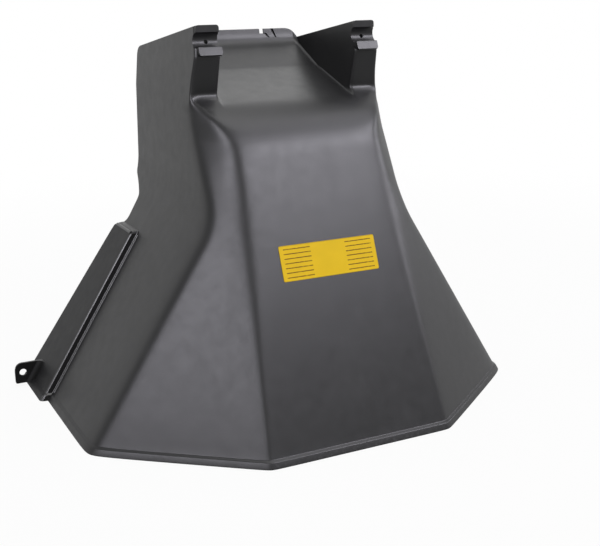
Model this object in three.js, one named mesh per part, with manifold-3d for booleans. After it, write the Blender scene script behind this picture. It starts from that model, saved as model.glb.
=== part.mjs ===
// Deflector hood for a mower deck: one moulded plastic shell with two horns that saddle a
// mounting bar, and a sticker on its front panel.
// Millimetres, +Z up. The hood stands on its outlet edge and its front panel faces -Y.
import * as THREE from "three";
import { mergeVertices } from "three/addons/utils/BufferGeometryUtils.js";
import Module from "manifold-3d";

const wasm = await Module();
wasm.setup();

// Shell
const wall = 3.5;
const outletHalfWidth = 329;
const neckHalfWidth = 147;
const neckTaper = 3;
const neckBendBelowHorn = 8;
const neckBendRadius = 40;
const topHalfWidth = 134;
const flareHeight = 290;
const flareTilt = 0.045;
const flareRadius = 126;
const rimHeight = 9.5;
const rimStandOut = 3;
const rimShoulder = 1.2;

// Front panel, seen from the side: slope, shoulder, roof and upright lip
const panelFootHalfWidth = 134;
const panelNeckHalfWidth = 109;
const panelTopHalfWidth = 131;
const panelMiddleHalfWidth = 68;
const shoulderDepth = 172;
const shoulderHeight = 421;
const shoulderRadius = 110;
const creaseDepth = 327;
const creaseHeight = 469;
const creaseRadius = 9;
const lipDepth = 399;
const lipFootHeight = 502;
const lipFootRadius = 7;
const lipLean = 7;
const lipHeight = 521;
const lipCornerRadius = 20;

// Folds between the front panel, its slanted facets and the side walls
const sideFoldDepth = 145;
const sideFoldBend = 288;
const sideFoldBendRadius = 90;
const sideFoldLean = 4;
const sideFoldFootRadius = 12;
const sideFoldNeckRadius = 32;
const frontFoldFootRadius = 9;
const frontFoldNeckRadius = 52;
const facetBendHeight = 386;
const facetBendRadius = 24;

// Side walls, to the rear
const rearFootDepth = 459;
const rearStripDepth = 425;
const rearWaistDepth = 411;
const rearWaistHeight = 262;
const rearNeckDepth = 456;
const rearNeckHeight = 309;
const rearWaistRise = 18;
const rearWaistLean = 4;
const rearBendRadius = 12;
const rearCornerRadius = 14;

// Raised strip along the rear of each flared side
const stripFrontDepth = 352;
const stripTopHeight = 240;
const stripStandOut = 11;
const stripDraft = 2;
const stripEdgeRadius = 4.6;
const stripRootRadius = 2.2;
const stripEndRadius = 5;

// Horns
const hornWidth = 33.5;
const hornBaseDepth = 229;
const hornBaseHeight = 437;
const hornWaistDepth = 211;
const hornWaistRadius = 8;
const hornHeadDepth = 222;
const hornBaseReach = 26;
const hornCornerRadius = 5;
const hornRootRadius = 6;
const hornRootRise = 12;
const hornTopFall = 0.165;
const hornDraft = 0.5;
const hornRootLean = 2;

// Saddle for the mounting bar, at the head of each horn
const barDiameter = 20;
const barClearance = 0.5;
const barDepth = 213;
const barHeight = 519;
const hornRiseOverBar = 19;
const hornWaistUnderBar = 22;
const saddleTilt = 0.3;
const saddleLand = 10;
const upperLandStandOut = [2, 2.5];
const lowerLandStandOut = [3.5, 4.5];
const lowerLandChamfer = 1.5;
const grooveOverlap = 1;
const saddleFoot = 1;
const saddleBack = 5;
const saddleInset = 0.4;
const saddleTopRadius = 3;
const saddleFootRadius = 4.5;
const screwHoleDiameter = 5.5;
const screwBossDiameter = 14;
const screwBossLength = 16;
const screwBossGap = 1;

// Hooking notches in the lip
const lipNotchPlace = 43;
const lipNotchWidth = 7;
const lipNotchDepth = 7;
const lipSlotPlaces = [48.5, 60];
const lipSlotTops = [6, -1];
const lipSlotWidth = 4.5;
const lipSlotEndWidth = 2;
const lipSlotDepth = 13;
const lipSlotSlant = 6;
const lipSlotRecess = 2.3;

// Ear on the left strip
const earDepth = 427;
const earThickness = 4;
const earReach = 368;
const earFoot = 4;
const earTop = 36;
const earHoleDiameter = 11;
const earHoleWall = 6.5;
const earHoleHeight = 21;
const earSink = 2.1;
const earFilletRadius = 12;
const earFilletOverlap = 0.5;
const earFilletSteps = 6;

// Sticker on the front panel
const stickerWidth = 143;
const stickerHeight = 47.5;
const stickerThickness = 0.4;
const stickerGap = 0.3;
const stickerCornerRadius = 2.5;
const stickerMiddleHeight = 237;

// Fineness of the moulded surface, and how far its bends reach above and below their middles
const pathSteps = 20;
const curveSteps = 12;
const barSides = 32;
const leastBend = 0.8;
const bendRoom = 0.45;
const leastRise = 0.4;
const stripEndStep = 1;
const flareReach = 37;
const bendReach = 6;
const cutMargin = 12;

// Colours
const blackPlastic = new THREE.MeshStandardMaterial({
  name: "black_plastic",
  color: 0x202022,
  roughness: 0.5,
  metalness: 0,
});
const stickerYellow = new THREE.MeshStandardMaterial({
  name: "sticker_yellow",
  color: 0xf0c814,
  roughness: 0.4,
  metalness: 0,
});

// A path of straight runs whose inner points are rounded. A point is [across, up, radius].
function roundedPath(points) {
  const path = new THREE.Path();
  path.moveTo(points[0][0], points[0][1]);
  for (let i = 1; i < points.length - 1; i += 1) {
    const here = new THREE.Vector2(points[i][0], points[i][1]);
    const back = new THREE.Vector2(points[i - 1][0], points[i - 1][1]).sub(here);
    const ahead = new THREE.Vector2(points[i + 1][0], points[i + 1][1]).sub(here);
    const turn = Math.PI - back.angleTo(ahead);
    const trim = points[i][2] * Math.tan(turn / 2);
    back.normalize().multiplyScalar(trim).add(here);
    ahead.normalize().multiplyScalar(trim).add(here);
    path.lineTo(back.x, back.y);
    path.quadraticCurveTo(here.x, here.y, ahead.x, ahead.y);
  }
  const last = points[points.length - 1];
  path.lineTo(last[0], last[1]);
  return path;
}

// The distance across that a rising path has at each height
function acrossByHeight(points) {
  const samples = roundedPath(points).getPoints(pathSteps);
  return (height) => {
    let k = 1;
    while (k < samples.length - 1 && samples[k].y < height) k += 1;
    const below = samples[k - 1];
    const above = samples[k];
    const part = (height - below.y) / (above.y - below.y);
    return below.x + (above.x - below.x) * part;
  };
}

const hornHeight = barHeight + hornRiseOverBar;
const hornWaistHeight = barHeight - hornWaistUnderBar;
const cutTop = Math.max(hornHeight, lipHeight) + cutMargin;

const sideHalfWidth = acrossByHeight([
  [outletHalfWidth, 0],
  [neckHalfWidth, flareHeight, flareRadius],
  [neckHalfWidth - neckTaper, hornBaseHeight - neckBendBelowHorn, neckBendRadius],
  [topHalfWidth, hornHeight],
]);

const panelDepth = acrossByHeight([
  [0, 0],
  [shoulderDepth, shoulderHeight, shoulderRadius],
  [creaseDepth, creaseHeight, creaseRadius],
  [lipDepth, lipFootHeight, lipFootRadius],
  [lipDepth + lipLean, lipHeight + cutMargin, 0],
  [lipDepth + lipLean, cutTop + cutMargin],
]);

const foldDepth = acrossByHeight([
  [sideFoldDepth, 0],
  [sideFoldDepth, sideFoldBend, sideFoldBendRadius],
  [hornBaseDepth + sideFoldLean, hornBaseHeight],
]);

const panelHalfWidth = acrossByHeight([
  [panelFootHalfWidth, 0],
  [panelNeckHalfWidth, flareHeight, flareRadius],
  [panelNeckHalfWidth, facetBendHeight, facetBendRadius],
  [panelTopHalfWidth, hornBaseHeight],
]);

const rearDepth = acrossByHeight([
  [rearFootDepth, 0],
  [rearStripDepth, stripTopHeight - stripEndRadius, rearBendRadius],
  [rearWaistDepth, stripTopHeight + stripEndRadius, rearBendRadius],
  [rearWaistDepth + rearWaistLean, rearWaistHeight + rearWaistRise, rearBendRadius],
  [rearNeckDepth, rearNeckHeight, rearBendRadius],
  [rearNeckDepth, cutTop],
]);

const hornFrontDepth = acrossByHeight([
  [hornBaseDepth, hornBaseHeight],
  [hornWaistDepth, hornWaistHeight, hornWaistRadius],
  [hornHeadDepth, cutTop],
]);

// The lesser of two values, with a soft corner where they are less than the reach apart
function softLesser(a, b, reach) {
  const near = Math.max(reach - Math.abs(a - b), 0) / reach;
  return Math.min(a, b) - (near * near * reach) / 4;
}

// How far the raised strip stands out at a height, with a rounded upper end
function stripOut(height) {
  const below = THREE.MathUtils.clamp((stripTopHeight - height) / stripEndRadius, 0, 1);
  return stripStandOut * Math.sqrt(1 - (1 - below) ** 2);
}

// The corners of the right half of a level section, from the rear edge to the front panel.
// Below the horns the last two lie on the flat panel, and along a horn the fold corner lies
// on its flat front.
function sectionCorners(height) {
  const side = sideHalfWidth(height);
  const rear = rearDepth(height);
  const out = stripOut(height);
  const wallAt = (depth) => sideHalfWidth(height - flareTilt * (depth - sideFoldDepth));
  const panel = panelDepth(height);
  const front = softLesser(panel, hornFrontDepth(height), hornBaseReach);
  const fold = softLesser(foldDepth(height), hornFrontDepth(height), hornBaseReach);
  const along = THREE.MathUtils.smoothstep(height, hornBaseHeight, hornBaseHeight + hornRootRise);
  const up = THREE.MathUtils.smoothstep(height, 0, flareHeight);
  const sideRadius = THREE.MathUtils.lerp(sideFoldFootRadius, sideFoldNeckRadius, up);
  const frontRadius = THREE.MathUtils.lerp(frontFoldFootRadius, frontFoldNeckRadius, up);
  const facet = Math.min(panelHalfWidth(height), side - 2 * hornCornerRadius);
  const near = THREE.MathUtils.smoothstep(height, facetBendHeight, hornBaseHeight - bendReach);
  const inner = THREE.MathUtils.lerp(panelMiddleHalfWidth, topHalfWidth - hornWidth, near);
  const lean = THREE.MathUtils.lerp(hornRootLean, hornDraft, along);
  const corners = [
    [wallAt(rear) + out, rear, 0, 0],
    [wallAt(stripFrontDepth) + out, stripFrontDepth, stripEdgeRadius, 3],
    [wallAt(stripFrontDepth), stripFrontDepth - stripDraft, stripRootRadius, 2],
    [side, fold, THREE.MathUtils.lerp(sideRadius, hornCornerRadius, along), 4],
    [facet, front, frontRadius, 4],
    [inner + lean, front, hornCornerRadius, 3],
    [inner - lean, panel, hornRootRadius, 3],
  ];
  return corners.map(([x, y, radius, steps]) => ({
    place: new THREE.Vector2(x, y),
    radius,
    steps,
  }));
}

// Points along the circular bend that rounds a corner
function bendPoints(before, corner, after) {
  const back = before.place.clone().sub(corner.place);
  const ahead = after.place.clone().sub(corner.place);
  const halfTurn = (Math.PI - back.angleTo(ahead)) / 2;
  const room = bendRoom * Math.min(back.length(), ahead.length());
  const trim = Math.min(Math.max(corner.radius * Math.tan(halfTurn), leastBend), room);
  const start = back.normalize().multiplyScalar(trim).add(corner.place);
  const end = ahead.normalize().multiplyScalar(trim).add(corner.place);
  const points = [];
  for (let k = 0; k <= corner.steps; k += 1) {
    const u = k / corner.steps;
    const a = (1 - u) ** 2;
    const b = 2 * u * (1 - u) * Math.cos(halfTurn);
    const c = u ** 2;
    const point = new THREE.Vector2();
    point.addScaledVector(start, a).addScaledVector(corner.place, b).addScaledVector(end, c);
    points.push(point.divideScalar(a + b + c));
  }
  return points;
}

// One level section of the outer surface, from the left rear edge round to the right
function section(height) {
  const corners = sectionCorners(height);
  const middle = { place: new THREE.Vector2(0, corners[corners.length - 1].place.y) };
  const half = [corners[0].place];
  for (let i = 1; i < corners.length; i += 1) {
    half.push(...bendPoints(corners[i - 1], corners[i], corners[i + 1] ?? middle));
  }
  const right = half.map((p) => new THREE.Vector3(p.x, p.y, height));
  const left = half.map((p) => new THREE.Vector3(-p.x, p.y, height));
  return [...left, new THREE.Vector3(0, middle.place.y, height), ...right.reverse()];
}

// Heights of the level sections, closest where the surface bends most
function sectionHeights() {
  const spans = [
    [0, rimHeight - rimShoulder, 1],
    [rimHeight - rimShoulder, rimHeight + rimShoulder, 3],
    [rimHeight + rimShoulder, stripTopHeight - stripEndRadius, 3],
    [stripTopHeight - stripEndRadius, stripTopHeight - stripEndStep, 3],
    [stripTopHeight - stripEndStep, stripTopHeight, 1],
    [stripTopHeight, flareHeight - flareReach, 1],
    [flareHeight - flareReach, flareHeight + flareReach, 8],
    [flareHeight + flareReach, facetBendHeight - bendReach, 2],
    [facetBendHeight - bendReach, hornBaseHeight - bendReach, 7],
    [hornBaseHeight - bendReach, hornBaseHeight + hornRootRise, 6],
    [hornBaseHeight + hornRootRise, creaseHeight - bendReach, 2],
    [creaseHeight - bendReach, creaseHeight + bendReach, 3],
    [creaseHeight + bendReach, lipFootHeight - bendReach, 4],
    [lipFootHeight - bendReach, lipFootHeight + bendReach, 3],
    [lipFootHeight + bendReach, lipHeight, 1],
    [lipHeight, cutTop, 1],
  ];
  const heights = [0];
  for (const [low, high, steps] of spans) {
    for (let k = 1; k <= steps; k += 1) heights.push(low + ((high - low) * k) / steps);
  }
  heights.sort((a, b) => a - b);
  return heights.filter((height, k) => k === 0 || height - heights[k - 1] > leastRise);
}

// How far the rim along the outlet edge stands out at a height
function rimOut(height) {
  const low = rimHeight - rimShoulder;
  const high = rimHeight + rimShoulder;
  return rimStandOut * (1 - THREE.MathUtils.smoothstep(height, low, high));
}

// The moulded shell: the outer surface, the same surface moved in by the wall, and the
// edges that join them
function shellGeometry() {
  const rows = sectionHeights().map(section);
  const columns = rows[0].length;
  const last = rows.length - 1;
  const positions = [];
  const pick = (j, i) => {
    const row = rows[THREE.MathUtils.clamp(j, 0, last)];
    return row[THREE.MathUtils.clamp(i, 0, columns - 1)];
  };
  const inner = [];
  for (let j = 0; j <= last; j += 1) {
    for (let i = 0; i < columns; i += 1) {
      const along = pick(j, i + 1).clone().sub(pick(j, i - 1));
      const up = pick(j + 1, i).clone().sub(pick(j - 1, i));
      const normal = along.cross(up).normalize();
      const level = new THREE.Vector3(normal.x, normal.y, 0);
      const point = rows[j][i];
      const outside = point.clone();
      outside.addScaledVector(level.clone().normalize(), rimOut(point.z));
      const inside = point.clone();
      if (j === 0 || j === last) inside.addScaledVector(level, -wall / level.lengthSq());
      else inside.addScaledVector(normal, -wall);
      positions.push(outside.x, outside.y, outside.z);
      inner.push(inside.x, inside.y, inside.z);
    }
  }
  const innerStart = rows.length * columns;
  const outerAt = (j, i) => j * columns + i;
  const innerAt = (j, i) => innerStart + j * columns + i;
  const index = [];
  const quad = (a, b, c, d, mirrored) => {
    if (mirrored) index.push(a, b, d, b, c, d);
    else index.push(a, b, c, a, c, d);
  };
  for (let j = 0; j < last; j += 1) {
    for (let i = 0; i < columns - 1; i += 1) {
      const flip = i >= (columns - 1) / 2;
      quad(outerAt(j, i), outerAt(j, i + 1), outerAt(j + 1, i + 1), outerAt(j + 1, i), flip);
      quad(innerAt(j, i + 1), innerAt(j, i), innerAt(j + 1, i), innerAt(j + 1, i + 1), !flip);
    }
    const end = columns - 1;
    quad(outerAt(j, 0), outerAt(j + 1, 0), innerAt(j + 1, 0), innerAt(j, 0));
    quad(outerAt(j + 1, end), outerAt(j, end), innerAt(j, end), innerAt(j + 1, end));
  }
  for (let i = 0; i < columns - 1; i += 1) {
    quad(outerAt(0, i + 1), outerAt(0, i), innerAt(0, i), innerAt(0, i + 1));
    quad(outerAt(last, i), outerAt(last, i + 1), innerAt(last, i + 1), innerAt(last, i));
  }
  const geometry = new THREE.BufferGeometry();
  geometry.setAttribute("position", new THREE.Float32BufferAttribute([...positions, ...inner], 3));
  geometry.setIndex(index);
  return geometry;
}

// A closed solid for cutting and joining
function solidFrom(geometry) {
  const bare = geometry.clone();
  bare.deleteAttribute("normal");
  bare.deleteAttribute("uv");
  const merged = mergeVertices(bare);
  return new wasm.Manifold(
    new wasm.Mesh({
      numProp: 3,
      vertProperties: new Float32Array(merged.attributes.position.array),
      triVerts: new Uint32Array(merged.index.array),
    }),
  );
}

function geometryFrom(solid) {
  const mesh = solid.getMesh();
  const geometry = new THREE.BufferGeometry();
  geometry.setAttribute("position", new THREE.BufferAttribute(mesh.vertProperties, 3));
  geometry.setIndex(new THREE.BufferAttribute(mesh.triVerts, 1));
  geometry.computeVertexNormals();
  return geometry;
}

// An outline drawn in depth and height, extruded across from one x to another
function acrossSolid(shape, from, to) {
  const geometry = new THREE.ExtrudeGeometry(shape, {
    depth: to - from,
    bevelEnabled: false,
    curveSegments: curveSteps,
  });
  const turn = new THREE.Matrix4().makeBasis(
    new THREE.Vector3(0, 1, 0),
    new THREE.Vector3(0, 0, 1),
    new THREE.Vector3(1, 0, 0),
  );
  geometry.applyMatrix4(turn.setPosition(from, 0, 0));
  return solidFrom(geometry);
}

// An outline drawn across and in height, extruded in depth from one y to another
function deepSolid(shape, from, to) {
  const geometry = new THREE.ExtrudeGeometry(shape, {
    depth: to - from,
    bevelEnabled: false,
    curveSegments: curveSteps,
  });
  const turn = new THREE.Matrix4().makeBasis(
    new THREE.Vector3(1, 0, 0),
    new THREE.Vector3(0, 0, 1),
    new THREE.Vector3(0, -1, 0),
  );
  geometry.applyMatrix4(turn.setPosition(0, to, 0));
  return solidFrom(geometry);
}

function shapeFrom(points) {
  return new THREE.Shape(points.map(([a, b]) => new THREE.Vector2(a, b)));
}

// A round bar along a direction, starting at a point
function barSolid(diameter, length, start, direction) {
  const geometry = new THREE.CylinderGeometry(diameter / 2, diameter / 2, length, barSides);
  geometry.translate(0, length / 2, 0);
  const turn = new THREE.Quaternion().setFromUnitVectors(
    new THREE.Vector3(0, 1, 0),
    direction.clone().normalize(),
  );
  geometry.applyQuaternion(turn);
  geometry.translate(start.x, start.y, start.z);
  return solidFrom(geometry);
}

// Height of the sloping top of the side walls and horns at a depth
const hornTopAt = (depth) => hornHeight - hornTopFall * (depth - barDepth);

// What is cut from above each side wall and horn, with its rounded rear corner
function sideTopCut(side) {
  const front = sideFoldDepth;
  const rear = rearNeckDepth;
  const beyond = rear + cutMargin;
  const shape = new THREE.Shape();
  shape.moveTo(front, hornTopAt(front));
  shape.lineTo(rear - rearCornerRadius, hornTopAt(rear - rearCornerRadius));
  shape.quadraticCurveTo(rear, hornTopAt(rear), rear, hornTopAt(rear) - rearCornerRadius);
  shape.lineTo(beyond, hornTopAt(rear) - rearCornerRadius);
  shape.lineTo(beyond, cutTop + cutMargin);
  shape.lineTo(front, cutTop + cutMargin);
  const near = topHalfWidth - hornWidth;
  const far = topHalfWidth + cutMargin;
  return side > 0 ? acrossSolid(shape, near, far) : acrossSolid(shape, -far, -near);
}

// What is cut from above the lip, with its rounded corners
function lipTopCut() {
  const half = topHalfWidth - hornWidth;
  const foot = lipHeight - lipCornerRadius;
  const shape = new THREE.Shape();
  shape.moveTo(-half, foot);
  shape.quadraticCurveTo(-half, lipHeight, -half + lipCornerRadius, lipHeight);
  shape.lineTo(half - lipCornerRadius, lipHeight);
  shape.quadraticCurveTo(half, lipHeight, half, foot);
  shape.lineTo(half, cutTop + cutMargin);
  shape.lineTo(-half, cutTop + cutMargin);
  return deepSolid(shape, sideFoldDepth, rearNeckDepth + cutMargin);
}

// The plate that closes the top of a horn
function hornCap(side) {
  const front = barDepth + saddleBack;
  const rear = lipDepth + lipLean + wall;
  const shape = shapeFrom([
    [front, hornTopAt(front) - wall],
    [rear, hornTopAt(rear) - wall],
    [rear, hornTopAt(rear)],
    [front, hornTopAt(front)],
  ]);
  const near = topHalfWidth - hornWidth + wall / 2;
  const far = topHalfWidth - wall / 2;
  return side > 0 ? acrossSolid(shape, near, far) : acrossSolid(shape, -far, -near);
}

// The head of a horn: two lands that the mounting bar's saddle lies between
function saddleBlock(side) {
  const radius = barDiameter / 2 + barClearance;
  const faceAt = (height) => barDepth + saddleTilt * (height - barHeight);
  const top = hornTopAt(barDepth);
  const foot = barHeight - radius - saddleLand;
  const back = barDepth + radius + saddleBack;
  const shape = shapeFrom([
    [faceAt(top) - upperLandStandOut[0], top],
    [faceAt(top) - upperLandStandOut[1], barHeight + radius - grooveOverlap],
    [barDepth, barHeight],
    [faceAt(foot + saddleLand) - lowerLandStandOut[0], foot + saddleLand + grooveOverlap],
    [faceAt(foot) - lowerLandStandOut[1], foot + lowerLandChamfer],
    [faceAt(foot) - lowerLandStandOut[1] + lowerLandChamfer, foot],
    [hornWaistDepth + wall, foot - saddleFoot],
    [back, foot],
    [back, hornTopAt(back)],
  ]);
  const reach = topHalfWidth + cutMargin;
  const bar = side > 0 ? acrossSolid(shape, 0, reach) : acrossSolid(shape, -reach, 0);
  return bar.intersect(deepSolid(saddleOutline(side), barDepth - cutMargin, back + cutMargin));
}

// A horn's head seen from the front, with rounded corners
function saddleOutline(side) {
  const middle = side * (topHalfWidth - hornWidth / 2);
  const half = hornWidth / 2 - saddleInset;
  const top = hornTopAt(barDepth - cutMargin);
  const foot = barHeight - barDiameter / 2 - barClearance - saddleLand - saddleFoot;
  const shape = new THREE.Shape();
  shape.moveTo(middle - half, foot + saddleFootRadius);
  shape.quadraticCurveTo(middle - half, foot, middle - half + saddleFootRadius, foot);
  shape.lineTo(middle + half - saddleFootRadius, foot);
  shape.quadraticCurveTo(middle + half, foot, middle + half, foot + saddleFootRadius);
  shape.lineTo(middle + half, hornHeight - saddleTopRadius);
  shape.quadraticCurveTo(middle + half, hornHeight, middle + half - saddleTopRadius, hornHeight);
  shape.lineTo(middle + half - saddleTopRadius, top);
  shape.lineTo(middle - half + saddleTopRadius, top);
  shape.lineTo(middle - half + saddleTopRadius, hornHeight);
  shape.quadraticCurveTo(middle - half, hornHeight, middle - half, hornHeight - saddleTopRadius);
  return shape;
}

const saddleNormal = new THREE.Vector3(0, 1, -saddleTilt).normalize();

// Middle of a horn's saddle, on the bar's axis
function saddleMiddle(side) {
  return new THREE.Vector3(side * (topHalfWidth - hornWidth / 2), barDepth, barHeight);
}

function screwBoss(side) {
  const start = saddleMiddle(side).addScaledVector(saddleNormal, barDiameter / 2 + screwBossGap);
  return barSolid(screwBossDiameter, screwBossLength, start, saddleNormal);
}

function screwHole(side) {
  const length = screwBossLength + barDiameter;
  return barSolid(screwHoleDiameter, length, saddleMiddle(side), saddleNormal);
}

// The bar's groove through both horns
function barGroove() {
  const reach = topHalfWidth + cutMargin;
  const start = new THREE.Vector3(-reach, barDepth, barHeight);
  const across = new THREE.Vector3(1, 0, 0);
  return barSolid(barDiameter + 2 * barClearance, 2 * reach, start, across);
}

// The notch through the upright lip
function lipNotch() {
  const shape = shapeFrom([
    [lipNotchPlace - lipNotchWidth / 2, lipHeight - lipNotchDepth],
    [lipNotchPlace + lipNotchWidth / 2, lipHeight - lipNotchDepth],
    [lipNotchPlace + lipNotchWidth / 2, lipHeight + cutMargin],
    [lipNotchPlace - lipNotchWidth / 2, lipHeight + cutMargin],
  ]);
  return deepSolid(shape, lipDepth - cutMargin, lipDepth + lipLean + cutMargin);
}

// The two slanted grooves in the front of the leaning lip
function lipSlots() {
  const rise = lipHeight - lipFootHeight;
  const lean = Math.atan2(lipLean, rise + cutMargin);
  return lipSlotPlaces.map((place, k) => {
    const shape = shapeFrom([
      [place - lipSlotWidth / 2, rise - lipSlotTops[k]],
      [place + lipSlotSlant - lipSlotEndWidth / 2, rise - lipSlotDepth],
      [place + lipSlotSlant + lipSlotEndWidth / 2, rise - lipSlotDepth],
      [place + lipSlotWidth / 2, rise - lipSlotTops[k]],
    ]);
    const upright = deepSolid(shape, -cutMargin, lipSlotRecess);
    const leaning = upright.rotate([-THREE.MathUtils.radToDeg(lean), 0, 0]);
    return leaning.translate([0, lipDepth, lipFootHeight]);
  });
}

// Half width of the outside of the raised strip at a depth and height
function stripSurface(depth, height) {
  return sideHalfWidth(height - flareTilt * (depth - sideFoldDepth)) + stripOut(height);
}

// The ear on the left strip, with its hole and the fillet at its root
function ear() {
  const holeAcross = -(earReach - earHoleWall - earHoleDiameter / 2);
  const low = -stripSurface(earDepth, earFoot) + earSink;
  const high = -stripSurface(earDepth, earTop) + earSink;
  const shape = new THREE.Shape();
  shape.moveTo(low, earFoot);
  shape.lineTo(high, earTop);
  shape.lineTo(holeAcross, earTop);
  shape.quadraticCurveTo(-earReach, earTop, -earReach, earHoleHeight);
  shape.lineTo(-earReach, earFoot);
  const hole = new THREE.Path();
  hole.absarc(holeAcross, earHoleHeight, earHoleDiameter / 2, 0, 2 * Math.PI);
  shape.holes.push(hole);
  return deepSolid(shape, earDepth - earThickness / 2, earDepth + earThickness / 2);
}

// The concave fillet between the ear's front face and the strip
function earFillet() {
  const front = earDepth - earThickness / 2 + earFilletOverlap;
  const rows = [earFoot, earTop].map((height) => {
    const surface = -stripSurface(front, height);
    const points = [];
    for (let k = 0; k <= earFilletSteps; k += 1) {
      const angle = (k / earFilletSteps) * (Math.PI / 2);
      const out = earFilletRadius * (1 - Math.sin(angle));
      const ahead = earFilletRadius * (1 - Math.cos(angle));
      points.push([surface - out, front - ahead, height]);
    }
    points.push([surface + wall / 2, front - earFilletRadius, height]);
    points.push([surface + wall / 2, front, height]);
    return points;
  });
  const count = rows[0].length;
  const index = [];
  for (let k = 0; k < count; k += 1) {
    const next = (k + 1) % count;
    index.push(k, next, count + k, next, count + next, count + k);
  }
  for (let k = 1; k < count - 1; k += 1) {
    index.push(count - 1, k, k - 1);
    index.push(2 * count - 1, count + k - 1, count + k);
  }
  const geometry = new THREE.BufferGeometry();
  geometry.setAttribute("position", new THREE.Float32BufferAttribute(rows.flat(2), 3));
  geometry.setIndex(index);
  return solidFrom(geometry);
}

function makeHood() {
  let hood = solidFrom(shellGeometry());
  for (const side of [-1, 1]) hood = hood.subtract(sideTopCut(side));
  hood = hood.subtract(lipTopCut());
  for (const side of [-1, 1]) {
    hood = hood.add(hornCap(side)).add(saddleBlock(side)).add(screwBoss(side));
  }
  hood = hood.subtract(barGroove());
  for (const side of [-1, 1]) hood = hood.subtract(screwHole(side));
  for (const cut of [lipNotch(), ...lipSlots()]) hood = hood.subtract(cut);
  hood = hood.add(ear()).add(earFillet());
  const mesh = new THREE.Mesh(geometryFrom(hood), blackPlastic);
  mesh.name = "deflector_hood";
  return mesh;
}

function makeSticker() {
  const halfWidth = stickerWidth / 2;
  const halfHeight = stickerHeight / 2;
  const r = stickerCornerRadius;
  const shape = new THREE.Shape();
  shape.moveTo(-halfWidth + r, -halfHeight);
  shape.lineTo(halfWidth - r, -halfHeight);
  shape.absarc(halfWidth - r, -halfHeight + r, r, -Math.PI / 2, 0);
  shape.absarc(halfWidth - r, halfHeight - r, r, 0, Math.PI / 2);
  shape.absarc(-halfWidth + r, halfHeight - r, r, Math.PI / 2, Math.PI);
  shape.absarc(-halfWidth + r, -halfHeight + r, r, Math.PI, 1.5 * Math.PI);
  const geometry = new THREE.ExtrudeGeometry(shape, {
    depth: stickerThickness,
    bevelEnabled: false,
    curveSegments: curveSteps / 2,
  });
  const mesh = new THREE.Mesh(geometry, stickerYellow);
  mesh.name = "sticker";
  const lean = Math.atan2(shoulderDepth, shoulderHeight);
  mesh.rotation.x = Math.PI / 2 - lean;
  const outward = new THREE.Vector3(0, -Math.cos(lean), Math.sin(lean));
  mesh.position.set(0, panelDepth(stickerMiddleHeight), stickerMiddleHeight);
  mesh.position.addScaledVector(outward, stickerGap);
  return mesh;
}

const deflector = new THREE.Group();
deflector.add(makeHood());
deflector.add(makeSticker());

export default deflector;
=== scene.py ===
import math

import bmesh
import bpy
from mathutils import Matrix, Vector
from mathutils.bvhtree import BVHTree


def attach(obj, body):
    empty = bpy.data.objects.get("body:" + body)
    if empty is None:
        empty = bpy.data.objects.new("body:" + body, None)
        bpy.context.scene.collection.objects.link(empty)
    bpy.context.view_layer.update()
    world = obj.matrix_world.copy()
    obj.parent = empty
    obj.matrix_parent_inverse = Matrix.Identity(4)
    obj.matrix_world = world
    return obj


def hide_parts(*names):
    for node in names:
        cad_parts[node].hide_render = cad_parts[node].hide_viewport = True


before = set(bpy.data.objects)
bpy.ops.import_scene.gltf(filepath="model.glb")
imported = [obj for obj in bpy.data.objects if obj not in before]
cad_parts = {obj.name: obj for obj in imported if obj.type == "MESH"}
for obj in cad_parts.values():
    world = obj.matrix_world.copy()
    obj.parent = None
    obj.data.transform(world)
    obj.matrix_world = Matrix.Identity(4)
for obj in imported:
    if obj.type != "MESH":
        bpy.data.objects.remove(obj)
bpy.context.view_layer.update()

print("frame loaded")


# small helpers for objects and meshes
def inScene(name, data):
    thing = bpy.data.objects.new(name, data)
    bpy.context.scene.collection.objects.link(thing)
    return thing


def finishedMesh(piece):
    return bpy.data.meshes.new_from_object(piece.evaluated_get(bpy.context.evaluated_depsgraph_get()))


# small helpers for node materials
def newMaterial(name, base, roughness, specular):
    material = bpy.data.materials.new(name)
    material.use_nodes = True
    shader = material.node_tree.nodes["Principled BSDF"]
    shader.inputs["Base Color"].default_value = (*base, 1)
    shader.inputs["Roughness"].default_value = roughness
    shader.inputs["Specular IOR Level"].default_value = specular
    return material, material.node_tree, shader


def addNode(tree, kind, **settings):
    node = tree.nodes.new(kind)
    for key, value in settings.items():
        setattr(node, key, value)
    return node


# fills a socket with a number, a colour or the output of another node
def feed(tree, socket, value):
    if isinstance(value, (int, float)):
        socket.default_value = value
    elif isinstance(value, tuple):
        socket.default_value = (*value, 1)
    else:
        tree.links.new(value, socket)


# the place on the object, whole and as its three parts
def objectPlace(tree):
    whole = addNode(tree, "ShaderNodeTexCoord").outputs["Object"]
    apart = addNode(tree, "ShaderNodeSeparateXYZ")
    tree.links.new(whole, apart.inputs[0])
    return (whole, *apart.outputs)


# rise is the share of the scale that the noise keeps up the object
def noiseOn(tree, place, scale, detail, roughness, rise=1):
    if rise != 1:
        mapping = addNode(tree, "ShaderNodeMapping")
        mapping.inputs["Scale"].default_value = (1, 1, rise)
        tree.links.new(place, mapping.inputs["Vector"])
        place = mapping.outputs["Vector"]
    noise = addNode(tree, "ShaderNodeTexNoise")
    noise.inputs["Scale"].default_value = scale
    noise.inputs["Detail"].default_value = detail
    noise.inputs["Roughness"].default_value = roughness
    tree.links.new(place, noise.inputs["Vector"])
    return noise.outputs["Fac"]


def rampOn(tree, factor, places, colours):
    ramp = addNode(tree, "ShaderNodeValToRGB")
    for element, place, colour in zip(ramp.color_ramp.elements, places, colours):
        element.position = place
        element.color = (*colour, 1)
    tree.links.new(factor, ramp.inputs["Fac"])
    return ramp.outputs["Color"]


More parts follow.
